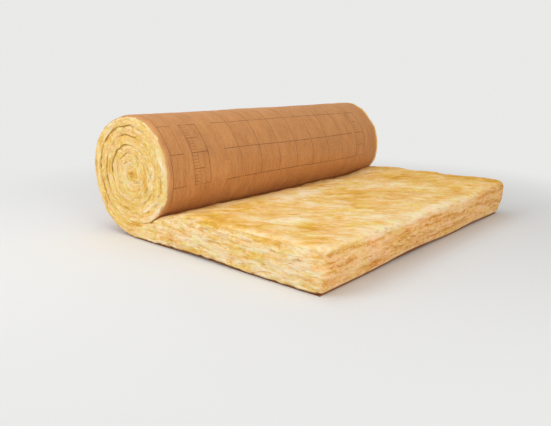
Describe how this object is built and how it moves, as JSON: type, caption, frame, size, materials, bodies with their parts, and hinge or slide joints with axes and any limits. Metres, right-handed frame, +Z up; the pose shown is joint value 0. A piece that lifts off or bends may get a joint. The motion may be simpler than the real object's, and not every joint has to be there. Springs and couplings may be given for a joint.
{
  "type": "insulation roll",
  "caption": "Glass wool insulation blanket with a ruled kraft paper facing, part wound into a roll and part laid out flat.",
  "frame": {"origin": "on the floor below the middle of the whole piece, rolled and flat parts together", "axes": "+X from the roll towards the free end of the flat part, +Y along the roll's axis, +Z up"},
  "size_m": [0.9676, 1.2, 0.3963],
  "materials": {
    "glass_wool": "matte",
    "kraft_paper": "satin"
  },
  "bodies": {
    "root": {"glass_wool_blanket": "glass_wool", "kraft_facing": "kraft_paper"}
  },
  "joints": []
}
